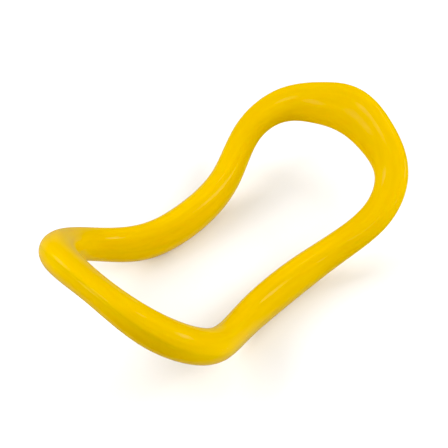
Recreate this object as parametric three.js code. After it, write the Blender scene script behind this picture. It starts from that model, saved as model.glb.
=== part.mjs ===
// A yoga stretch ring: one closed, waved loop of hollow plastic tube. It is moulded as an upper
// and a lower half shell, which meet in a tongue-and-groove seam along both edges of the tube.
//
// Millimetres, +Z up, +X towards the broad end. The ring lies on the hollow of its two long
// sides, with both ends raised, and it is its own mirror image across the XZ plane. The origin
// is on the floor, under the middle of the ring.

import * as THREE from 'three';
import { NURBSCurve } from 'three/addons/curves/NURBSCurve.js';
import { ParametricGeometry } from 'three/addons/geometries/ParametricGeometry.js';

// One side of the loop, from the middle of the slim end to the middle of the broad end. The
// stations steer a smooth closed curve, which passes near them: x, y and z are the middle of the
// tube, width is the tube's size across the loop's own surface, depth its size through that
// surface, and lean the slope of the surface there, in degrees, rising towards +X.
const SIDE_STATIONS = [
  { x: -108, y: 0, z: 66, width: 25, depth: 15, lean: -60 },
  { x: -106, y: 42, z: 62, width: 23, depth: 21, lean: -45 },
  { x: -80, y: 58, z: 38, width: 20, depth: 20, lean: -35 },
  { x: -57, y: 51, z: 23, width: 17, depth: 21, lean: -30 },
  { x: -31, y: 41, z: 12, width: 18, depth: 27, lean: -15 },
  { x: 10, y: 40, z: 12, width: 20, depth: 26, lean: 15 },
  { x: 41, y: 45, z: 17, width: 18, depth: 21, lean: 40 },
  { x: 68, y: 58, z: 35, width: 19, depth: 15, lean: 50 },
  { x: 93, y: 48, z: 50, width: 22, depth: 13, lean: 55 },
  { x: 103, y: 23, z: 57, width: 27, depth: 13, lean: 55 },
  { x: 106, y: 0, z: 64, width: 32, depth: 13, lean: 55 },
];

const WALL = 3; // thickness of both shells
const TONGUE_WIDTH = 0.8; // the upper shell's tongue, in the middle of the wall
const TONGUE_HEIGHT = 1.2;
const CLEARANCE = 0.3; // between the two shells, wherever they face each other

const LOOP_STEPS = 96; // sections round the loop
const OUTER_ARC_STEPS = 10; // edges of the half ellipse on a shell's outside
const INNER_ARC_STEPS = 8; // edges of the half ellipse on its inside

const SHORT_WAY = 1 / 4000; // fraction of the loop, for finding the tube's direction

const YELLOW = 0xf0c400;

// The stations of the whole loop: one side out, and its mirror image back.
function loopStations() {
  const farSide = SIDE_STATIONS.slice(1, -1).reverse();
  return [...SIDE_STATIONS, ...farSide.map((station) => ({ ...station, y: -station.y }))];
}

// A smooth closed curve, a uniform cubic B-spline, that starts at the first of the points.
function closedSpline(points) {
  const degree = 3;
  const wrapped = [points.at(-1), ...points, points[0], points[1]];
  const knots = Array.from({ length: wrapped.length + degree + 1 }, (_, index) => index);
  return new NURBSCurve(degree, knots, wrapped, degree, wrapped.length);
}

const stations = loopStations();
const centreline = closedSpline(stations.map(({ x, y, z }) => new THREE.Vector4(x, y, z, 1)));
const sectionSizes = closedSpline(
  stations.map(({ width, depth, lean }) => new THREE.Vector4(width, depth, lean, 1)),
);

// The tube's section at a fraction of the way round the loop: its middle, the direction across
// the loop's surface, the direction up through it, and the half sizes along those two.
function sectionAt(fraction) {
  const centre = centreline.getPoint(fraction);
  const sizes = sectionSizes.getPoint(fraction);
  const ahead = centreline.getPoint((fraction + SHORT_WAY) % 1);
  const behind = centreline.getPoint((fraction - SHORT_WAY + 1) % 1);
  const along = ahead.sub(behind).normalize();
  const lean = THREE.MathUtils.degToRad(sizes.z);
  const up = new THREE.Vector3(-Math.sin(lean), 0, Math.cos(lean));
  up.addScaledVector(along, -up.dot(along)).normalize();
  const across = new THREE.Vector3().crossVectors(up, along);
  return { centre, across, up, halfWidth: sizes.x / 2, halfDepth: sizes.y / 2 };
}

// Half an ellipse above the seam, from +across to -across.
function halfEllipse(halfWidth, halfDepth, steps) {
  const seamAngle = Math.asin(CLEARANCE / 2 / halfDepth);
  return Array.from({ length: steps + 1 }, (_, index) => {
    const angle = THREE.MathUtils.lerp(seamAngle, Math.PI - seamAngle, index / steps);
    return new THREE.Vector2(halfWidth * Math.cos(angle), halfDepth * Math.sin(angle));
  });
}

const SEAM_CORNERS = 4; // of the tongue or groove in one wall

// The corners of the seam in the wall at +across, from the inside of the tube to the outside.
// A drop below the seam makes a tongue, and a rise above it makes a groove.
function seamCorners(halfWidth, width, drop) {
  const middle = halfWidth - WALL / 2;
  const inner = middle - width / 2;
  const outer = middle + width / 2;
  const seam = CLEARANCE / 2;
  return [
    new THREE.Vector2(inner, seam),
    new THREE.Vector2(inner, seam - drop),
    new THREE.Vector2(outer, seam - drop),
    new THREE.Vector2(outer, seam),
  ];
}

// The closed outline of a shell's section, drawn as the upper shell lies, with its seam down.
function shellOutline(halfWidth, halfDepth, seam) {
  const outside = halfEllipse(halfWidth, halfDepth, OUTER_ARC_STEPS);
  const inside = halfEllipse(halfWidth - WALL, halfDepth - WALL, INNER_ARC_STEPS).reverse();
  const nearSeam = seamCorners(halfWidth, seam.width, seam.drop);
  const farSeam = nearSeam.map(({ x, y }) => new THREE.Vector2(-x, y)).reverse();
  return [...outside, ...farSeam, ...inside, ...nearSeam];
}

const OUTLINE_CORNERS = OUTER_ARC_STEPS + 1 + INNER_ARC_STEPS + 1 + 2 * SEAM_CORNERS;

// A half shell of the tube, swept once round the loop. side is 1 for the upper shell and -1 for
// the lower one, which is the same section turned over.
function shell(name, side, seam) {
  const place = (corner, section, target) => {
    const { centre, across, up, halfWidth, halfDepth } = sectionAt(section % 1);
    const outline = shellOutline(halfWidth, halfDepth, seam);
    const index = Math.round(corner * OUTLINE_CORNERS) % OUTLINE_CORNERS;
    const { x, y } = outline[index];
    target.copy(centre).addScaledVector(across, side * x).addScaledVector(up, side * y);
  };
  const geometry = new ParametricGeometry(place, OUTLINE_CORNERS, LOOP_STEPS);
  const plastic = new THREE.MeshStandardMaterial({ color: YELLOW, roughness: 0.3, metalness: 0 });
  const mesh = new THREE.Mesh(geometry, plastic);
  mesh.name = name;
  return mesh;
}

function upperShell() {
  const drop = CLEARANCE + TONGUE_HEIGHT;
  return shell('upper_shell', 1, { width: TONGUE_WIDTH, drop });
}

function lowerShell() {
  const width = TONGUE_WIDTH + 2 * CLEARANCE;
  return shell('lower_shell', -1, { width, drop: -(TONGUE_HEIGHT + CLEARANCE) });
}

// Sets the ring down on the floor, with the origin under the middle of its box.
function setDown(group) {
  const box = new THREE.Box3().setFromObject(group);
  const middle = box.getCenter(new THREE.Vector3());
  group.position.set(-middle.x, -middle.y, -box.min.z);
}

const ring = new THREE.Group();
ring.add(upperShell(), lowerShell());
setDown(ring);

export default ring;
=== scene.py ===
"""A yoga stretch ring: a closed, waved loop of glossy yellow plastic tube on a pale studio floor.

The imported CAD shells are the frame. This script makes the fine surface of the same two shells,
with the same tongue-and-groove seam, then their moulded plastic, the floor, the lights and the
camera.
"""

import math

import bpy
import numpy as np
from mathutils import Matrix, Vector


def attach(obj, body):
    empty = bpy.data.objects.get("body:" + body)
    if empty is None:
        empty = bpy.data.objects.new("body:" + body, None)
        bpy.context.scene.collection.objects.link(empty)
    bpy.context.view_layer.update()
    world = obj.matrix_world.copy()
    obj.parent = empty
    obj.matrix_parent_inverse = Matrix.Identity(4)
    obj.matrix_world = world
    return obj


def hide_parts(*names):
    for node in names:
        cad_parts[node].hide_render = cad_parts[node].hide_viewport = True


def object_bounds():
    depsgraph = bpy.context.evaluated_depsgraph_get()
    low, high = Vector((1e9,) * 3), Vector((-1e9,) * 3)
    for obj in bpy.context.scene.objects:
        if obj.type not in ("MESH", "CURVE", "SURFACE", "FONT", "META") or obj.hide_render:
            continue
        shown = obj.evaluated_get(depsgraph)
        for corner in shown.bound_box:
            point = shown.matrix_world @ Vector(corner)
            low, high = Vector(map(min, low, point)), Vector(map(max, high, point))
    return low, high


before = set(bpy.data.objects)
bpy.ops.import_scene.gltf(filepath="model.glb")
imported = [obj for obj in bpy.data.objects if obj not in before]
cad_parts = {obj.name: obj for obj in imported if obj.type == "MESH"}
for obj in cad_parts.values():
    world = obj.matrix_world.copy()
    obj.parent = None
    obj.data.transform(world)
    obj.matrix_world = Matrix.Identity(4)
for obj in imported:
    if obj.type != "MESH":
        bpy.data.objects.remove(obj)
CAD_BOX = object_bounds()
LOW, HIGH = CAD_BOX
MIDDLE = (LOW + HIGH) / 2

MM = 0.001

# One side of the loop, from the middle of the slim end to the middle of the broad end, as in the
# CAD model: x, y, z, width, depth in millimetres, and the lean of the loop's surface in degrees.
SIDE_STATIONS = [
    (-108, 0, 66, 25, 15, -60),
    (-106, 42, 62, 23, 21, -45),
    (-80, 58, 38, 20, 20, -35),
    (-57, 51, 23, 17, 21, -30),
    (-31, 41, 12, 18, 27, -15),
    (10, 40, 12, 20, 26, 15),
    (41, 45, 17, 18, 21, 40),
    (68, 58, 35, 19, 15, 50),
    (93, 48, 50, 22, 13, 55),
    (103, 23, 57, 27, 13, 55),
    (106, 0, 64, 32, 13, 55),
]

# The section, in millimetres.
WALL = 3.0
SEAM_GAP = 0.02  # between the two welded shells
SEAM_EDGE_RADIUS = 0.05  # rounding of each shell's outer edge at the seam
TONGUE_WIDTH = 0.8
TONGUE_HEIGHT = 1.2
TONGUE_CLEARANCE = 0.1

# Fineness of the mesh.
LOOP_STEPS = 480
OUTER_ARC_STEPS = 44
INNER_ARC_STEPS = 16
EDGE_STEPS = 4

WAVINESS = 0.05  # how far the moulded skin strays from a perfect sweep, in millimetres
SHARP_ANGLE = 50  # between two faces, in degrees, from which their edge isn't shaded smooth

# The mesh attribute that lays the loop out as a plain circle, for marks that follow the tube.
FLOW = "flow"
FLOW_RADIUS = 100.0  # of a circle about as long round as the loop, in millimetres

DEEP_YELLOW = (0.627, 0.381, 0.0, 1)
LIGHT_YELLOW = (0.702, 0.447, 0.0, 1)
FLOW_SCALE = 18.0  # of the streaks along the tube, in noise cells per metre
RELIEF = 0.00008  # height of the streaks and the orange peel, in metres
NOISE_LOW = 0.3  # a noise value mostly lies between these two
NOISE_HIGH = 0.7

PLASTIC_FINISH = {
    "IOR": 1.49,
    "Specular IOR Level": 0.2,
    "Subsurface Weight": 0.25,
    "Subsurface Radius": (1.0, 0.45, 0.05),
    "Subsurface Scale": 0.004,
}
FLOOR_FINISH = {
    "Base Color": (0.86, 0.86, 0.86, 1),
    "Roughness": 0.9,
    "Specular IOR Level": 0.0,
}
FLOOR_HALF_SIZE = 6.0

CAMERA_AZIMUTH = -45.4
CAMERA_ELEVATION = 45.6
CAMERA_DISTANCE = 0.68
CAMERA_LENS = 91.2
CAMERA_AIM = MIDDLE + Vector((-0.0041, 0.0042, 0))

WORLD_STRENGTH = 0.36
LIGHT_DISTANCE = 1.0

# The lights: name, degrees round from the camera, degrees up, width and height in metres, and
# power in watts.
FILLS = [
    ("left_fill", -96, 34, 1.0, 0.7, 8.2),
    ("right_fill", 80, 40, 1.0, 0.7, 7.4),
    ("overhead_fill", 180, 75, 1.2, 1.2, 1.8),
]
STRIPS = [
    ("left_strip", -74, 28, 0.12, 0.24, 0.42),
    ("high_left_strip", -77, 53, 0.12, 0.16, 0.5),
    ("low_left_strip", -116, 30, 0.15, 0.2, 0.6),
    ("right_strip", 94, 29, 0.28, 0.2, 1.1),
    ("low_right_strip", 56, 27, 0.12, 0.12, 0.3),
    ("back_strip", 132, 67, 0.2, 0.2, 0.5),
    ("front_strip", 17, 41, 0.12, 0.5, 0.6),
]

BLUE_LOST = 0.022  # the little blue that a strong yellow loses in a photograph


# ---------------------------------------------------------------- shape


def closed_spline(points, places):
    """A uniform cubic B-spline over a closed list of points, at places from 0 to 1, and its slope."""
    count = len(points)
    scaled = places * count
    first = np.floor(scaled).astype(int)
    part = (scaled - first)[:, None]
    value_weights = (
        (1 - part) ** 3 / 6,
        (3 * part**3 - 6 * part**2 + 4) / 6,
        (-3 * part**3 + 3 * part**2 + 3 * part + 1) / 6,
        part**3 / 6,
    )
    slope_weights = (
        -((1 - part) ** 2) / 2,
        (9 * part**2 - 12 * part) / 6,
        (-9 * part**2 + 6 * part + 3) / 6,
        part**2 / 2,
    )
    nearest = [points[(first + offset) % count] for offset in (-1, 0, 1, 2)]
    value = sum(weight * point for weight, point in zip(value_weights, nearest))
    slope = sum(weight * point for weight, point in zip(slope_weights, nearest))
    return value, slope


def unit(vectors):
    return vectors / np.linalg.norm(vectors, axis=1, keepdims=True)


def loop_sections():
    """Every section round the loop: middle, direction across, direction up, half width, half depth."""
    side = np.array(SIDE_STATIONS, float)
    far_side = side[-2:0:-1] * np.array([1, -1, 1, 1, 1, 1])
    places = np.arange(LOOP_STEPS) / LOOP_STEPS
    value, slope = closed_spline(np.vstack([side, far_side]), places)
    centre = value[:, :3]
    along = unit(slope[:, :3])
    lean = np.radians(value[:, 5])
    up = np.stack([-np.sin(lean), np.zeros(LOOP_STEPS), np.cos(lean)], axis=1)
    up = unit(up - np.sum(up * along, axis=1, keepdims=True) * along)
    across = np.cross(up, along)
    return centre, across, up, value[:, 3:4] / 2, value[:, 4:5] / 2


# An outline is a list of corners. A corner is its place across and its place up, and each of the
# two is a column with one row for each section of the loop.


def half_ellipse(half_width, half_depth, lift, steps):
    """Corners of the upper half of an ellipse, from +across to -across, its ends at height lift."""
    start = np.arcsin(lift / half_depth)
    angles = [start + (math.pi - 2 * start) * step / steps for step in range(steps + 1)]
    return [(half_width * np.cos(angle), half_depth * np.sin(angle)) for angle in angles]


def rounded_edge(half_width):
    """Corners of the rounding at +across, from the outside of the tube down to the seam."""
    angles = [math.pi / 2 * step / EDGE_STEPS for step in range(1, EDGE_STEPS + 1)]
    middle = half_width - SEAM_EDGE_RADIUS
    level = np.full_like(half_width, SEAM_GAP / 2 + SEAM_EDGE_RADIUS)
    return [
        (middle + SEAM_EDGE_RADIUS * math.cos(angle), level - SEAM_EDGE_RADIUS * math.sin(angle))
        for angle in angles
    ]


def seam_corners(half_width, width, drop):
    """Corners of the tongue or groove in the wall at +across, from its outside to its inside."""
    outer = half_width - WALL / 2 + width / 2
    inner = half_width - WALL / 2 - width / 2
    level = np.full_like(half_width, SEAM_GAP / 2)
    return [(outer, level), (outer, level - drop), (inner, level - drop), (inner, level)]


def mirrored(corners):
    return [(-across, rise) for across, rise in corners]


def shell_outline(half_width, half_depth, seam_width, seam_drop):
    """The closed outline of a shell at every section of the loop, drawn with its seam down.

    Returns its places across and up, one row for each section. A seam_drop above 0 makes the
    tongue, and one below 0 the groove.
    """
    outside = half_ellipse(half_width, half_depth, SEAM_GAP / 2 + SEAM_EDGE_RADIUS, OUTER_ARC_STEPS)
    inside = half_ellipse(half_width - WALL, half_depth - WALL, SEAM_GAP / 2, INNER_ARC_STEPS)
    wall_end = rounded_edge(half_width) + seam_corners(half_width, seam_width, seam_drop)
    corners = outside + mirrored(wall_end) + inside[::-1] + wall_end[::-1]
    return np.hstack([across for across, _ in corners]), np.hstack([rise for _, rise in corners])


def skin_waves(places, angle):
    """A slow, shallow waviness of the moulded skin, in millimetres.

    Each wave repeats a whole number of times round the loop and round the tube, so it closes.
    """
    turn = 2 * math.pi * places
    long_wave = np.sin(5 * turn + 2.1 * np.sin(angle))
    middle_wave = 0.7 * np.sin(11 * turn + angle + 1.3)
    short_wave = 0.35 * np.sin(23 * turn - 2 * angle + 0.6)
    return WAVINESS * (long_wave + middle_wave + short_wave) / 2


def flow_places(places, angle, half_width, half_depth):
    """Places for the plastic's flow marks: the loop laid out as a circle, and the way round the tube."""
    turn = 2 * math.pi * places + 0 * angle
    around = angle * (half_width + half_depth) / 2
    return np.stack([FLOW_RADIUS * np.cos(turn), FLOW_RADIUS * np.sin(turn), around], axis=-1)


def grid_faces(rows, columns):
    """Quads of a surface that closes on itself both ways."""
    row = np.repeat(np.arange(rows), columns)
    column = np.tile(np.arange(columns), rows)
    next_row = (row + 1) % rows
    next_column = (column + 1) % columns
    quads = [
        row * columns + column,
        row * columns + next_column,
        next_row * columns + next_column,
        next_row * columns + column,
    ]
    return np.stack(quads, axis=1)


def shell(name, side, seam_width, seam_drop):
    """A half shell of the tube, in millimetres until it is set down. side is 1 above, -1 below."""
    centre, across, up, half_width, half_depth = loop_sections()
    out, rise = shell_outline(half_width, half_depth, seam_width, seam_drop)
    out, rise = side * out, side * rise
    places = (np.arange(LOOP_STEPS) / LOOP_STEPS)[:, None]
    angle = np.arctan2(rise / half_depth, out / half_width)

    # Only the outside and its rounded edges are wavy. The seam and the inside stay plain.
    swell = 1 + skin_waves(places, angle) / half_width
    swell[:, OUTER_ARC_STEPS + 1 + EDGE_STEPS : -EDGE_STEPS] = 1

    points = centre[:, None] + (swell * out)[..., None] * across[:, None]
    points = points + (swell * rise)[..., None] * up[:, None]
    flow = flow_places(places, angle, half_width, half_depth)
    faces = grid_faces(*out.shape)
    return name, points.reshape(-1, 3), flow.reshape(-1, 3), faces


def set_down(shells):
    """Puts the origin on the floor under the middle of the ring, as in the CAD model, in metres."""
    everything = np.vstack([points for _, points, _, _ in shells])
    low, high = everything.min(axis=0), everything.max(axis=0)
    shift = -np.array([(low[0] + high[0]) / 2, (low[1] + high[1]) / 2, low[2]])
    return [(name, (points + shift) * MM, flow * MM, faces) for name, points, flow, faces in shells]


def mesh_object(name, points, faces, material):
    mesh = bpy.data.meshes.new(name)
    mesh.from_pydata(points.tolist(), [], faces.tolist())
    mesh.validate()
    mesh.update()
    mesh.shade_smooth()
    mesh.set_sharp_from_angle(angle=math.radians(SHARP_ANGLE))
    mesh.materials.append(material)
    made = bpy.data.objects.new(name, mesh)
    bpy.context.scene.collection.objects.link(made)
    return made


def keep_flow(skin, flow):
    attribute = skin.data.attributes.new(FLOW, "FLOAT_VECTOR", "POINT")
    attribute.data.foreach_set("vector", flow.ravel())


# ---------------------------------------------------------------- materials


def new_material(name, finish):
    """A material, its node tree and its shader. finish holds what is the same all over it."""
    material = bpy.data.materials.new(name)
    material.use_nodes = True
    shader = material.node_tree.nodes["Principled BSDF"]
    for socket, value in finish.items():
        shader.inputs[socket].default_value = value
    return material, material.node_tree, shader


def noise(tree, coordinates, scale, detail, roughness=0.5):
    node = tree.nodes.new("ShaderNodeTexNoise")
    node.inputs["Scale"].default_value = scale
    node.inputs["Detail"].default_value = detail
    node.inputs["Roughness"].default_value = roughness
    tree.links.new(coordinates, node.inputs["Vector"])
    return node.outputs["Fac"]


def along_the_flow(tree, across_scale):
    """Coordinates in which a noise is drawn out along the tube, into streaks across_scale fine."""
    flow = tree.nodes.new("ShaderNodeAttribute")
    flow.attribute_name = FLOW
    stretch = tree.nodes.new("ShaderNodeMapping")
    stretch.inputs["Scale"].default_value = (FLOW_SCALE, FLOW_SCALE, across_scale)
    tree.links.new(flow.outputs["Vector"], stretch.inputs["Vector"])
    return stretch.outputs["Vector"]


def spread(tree, value, low, high):
    """Maps a noise value onto low to high."""
    node = tree.nodes.new("ShaderNodeMapRange")
    node.inputs["From Min"].default_value = NOISE_LOW
    node.inputs["From Max"].default_value = NOISE_HIGH
    node.inputs["To Min"].default_value = low
    node.inputs["To Max"].default_value = high
    tree.links.new(value, node.inputs["Value"])
    return node.outputs["Result"]


def add(tree, *values):
    total = values[0]
    for value in values[1:]:
        node = tree.nodes.new("ShaderNodeMath")
        tree.links.new(total, node.inputs[0])
        tree.links.new(value, node.inputs[1])
        total = node.outputs["Value"]
    return total


def yellow_plastic():
    """Glossy moulded plastic: flow streaks along the tube, faint clouds, orange peel, hairline scuffs."""
    material, tree, shader = new_material("yellow_plastic", PLASTIC_FINISH)
    place = tree.nodes.new("ShaderNodeTexCoord").outputs["Object"]
    cloud = noise(tree, place, scale=22, detail=3)
    streak = noise(tree, along_the_flow(tree, across_scale=210), scale=1, detail=4, roughness=0.6)
    smear = noise(tree, place, scale=60, detail=4, roughness=0.6)
    scuff = noise(tree, along_the_flow(tree, across_scale=2400), scale=1, detail=2)
    peel = noise(tree, place, scale=700, detail=2)

    tint = tree.nodes.new("ShaderNodeMix")
    tint.data_type = "RGBA"
    tint.inputs["A"].default_value = DEEP_YELLOW
    tint.inputs["B"].default_value = LIGHT_YELLOW
    shade = add(
        tree,
        spread(tree, cloud, low=0.0, high=0.3),
        spread(tree, streak, low=0.0, high=0.7),
    )
    tree.links.new(shade, tint.inputs["Factor"])
    tree.links.new(tint.outputs["Result"], shader.inputs["Base Color"])

    roughness = add(
        tree,
        spread(tree, smear, low=0.17, high=0.21),
        spread(tree, streak, low=0.0, high=0.05),
        spread(tree, scuff, low=0.0, high=0.03),
    )
    tree.links.new(roughness, shader.inputs["Roughness"])

    relief = add(
        tree,
        spread(tree, peel, low=0.0, high=0.12),
        spread(tree, streak, low=0.0, high=0.88),
    )
    bump = tree.nodes.new("ShaderNodeBump")
    bump.inputs["Strength"].default_value = 0.5
    bump.inputs["Distance"].default_value = RELIEF
    tree.links.new(relief, bump.inputs["Height"])
    tree.links.new(bump.outputs["Normal"], shader.inputs["Normal"])
    return material


def floor_material():
    material, _, _ = new_material("studio_floor", FLOOR_FINISH)
    return material


# ---------------------------------------------------------------- ring


def add_ring():
    """The two shells. The tongue is on the upper one, and the groove in the lower one."""
    groove_width = TONGUE_WIDTH + 2 * TONGUE_CLEARANCE
    groove_depth = TONGUE_HEIGHT + TONGUE_CLEARANCE
    plastic = yellow_plastic()
    shells = set_down(
        [
            shell("upper_shell_skin", 1, TONGUE_WIDTH, SEAM_GAP + TONGUE_HEIGHT),
            shell("lower_shell_skin", -1, groove_width, -groove_depth),
        ]
    )
    for name, points, flow, faces in shells:
        skin = mesh_object(name, points, faces, plastic)
        keep_flow(skin, flow)
        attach(skin, "root")
        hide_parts(name.removesuffix("_skin"))


# ---------------------------------------------------------------- studio


def add_floor():
    """A plain pale floor. It stays out of the ring's gloss, which it would fringe with white."""
    size = FLOOR_HALF_SIZE
    corners = [(-size, -size, 0), (size, -size, 0), (size, size, 0), (-size, size, 0)]
    floor = mesh_object("floor", np.array(corners), np.array([[0, 1, 2, 3]]), floor_material())
    floor.visible_glossy = False


def direction(azimuth, elevation):
    """The way from the ring to a place round it. Azimuth 0 is towards -Y, and 90 towards +X."""
    turn = math.radians(azimuth)
    rise = math.radians(elevation)
    return Vector(
        (math.sin(turn) * math.cos(rise), -math.cos(turn) * math.cos(rise), math.sin(rise))
    )


def aim(thing, place, target):
    thing.location = place
    thing.rotation_euler = (target - place).to_track_quat("-Z", "Y").to_euler()


def softbox(name, side, elevation, width, height, power):
    """A rectangular light aimed at the ring, side degrees round from the camera."""
    data = bpy.data.lights.new(name, "AREA")
    data.shape = "RECTANGLE"
    data.size = width
    data.size_y = height
    data.energy = power
    light = bpy.data.objects.new(name, data)
    bpy.context.scene.collection.objects.link(light)
    aim(light, MIDDLE + direction(CAMERA_AZIMUTH + side, elevation) * LIGHT_DISTANCE, MIDDLE)
    return light


def add_lights():
    """Big fills that light the ring without showing in its gloss, and small strips that do show."""
    for fill in FILLS:
        softbox(*fill).visible_glossy = False
    for strip in STRIPS:
        softbox(*strip)


def add_world():
    world = bpy.data.worlds.new("studio")
    world.use_nodes = True
    background = world.node_tree.nodes["Background"]
    background.inputs["Color"].default_value = (1, 1, 1, 1)
    background.inputs["Strength"].default_value = WORLD_STRENGTH
    bpy.context.scene.world = world


def add_camera():
    data = bpy.data.cameras.new("camera")
    data.lens = CAMERA_LENS
    camera = bpy.data.objects.new("camera", data)
    bpy.context.scene.collection.objects.link(camera)
    place = CAMERA_AIM + direction(CAMERA_AZIMUTH, CAMERA_ELEVATION) * CAMERA_DISTANCE
    aim(camera, place, CAMERA_AIM)
    bpy.context.scene.camera = camera


def set_colours():
    """Plain colours, with a little blue taken out."""
    settings = bpy.context.scene.view_settings
    settings.view_transform = "Standard"
    settings.use_curve_mapping = True
    settings.curve_mapping.black_level = (0.0, 0.0, BLUE_LOST)
    settings.curve_mapping.update()


add_camera()
add_ring()
add_floor()
add_world()
add_lights()
set_colours()
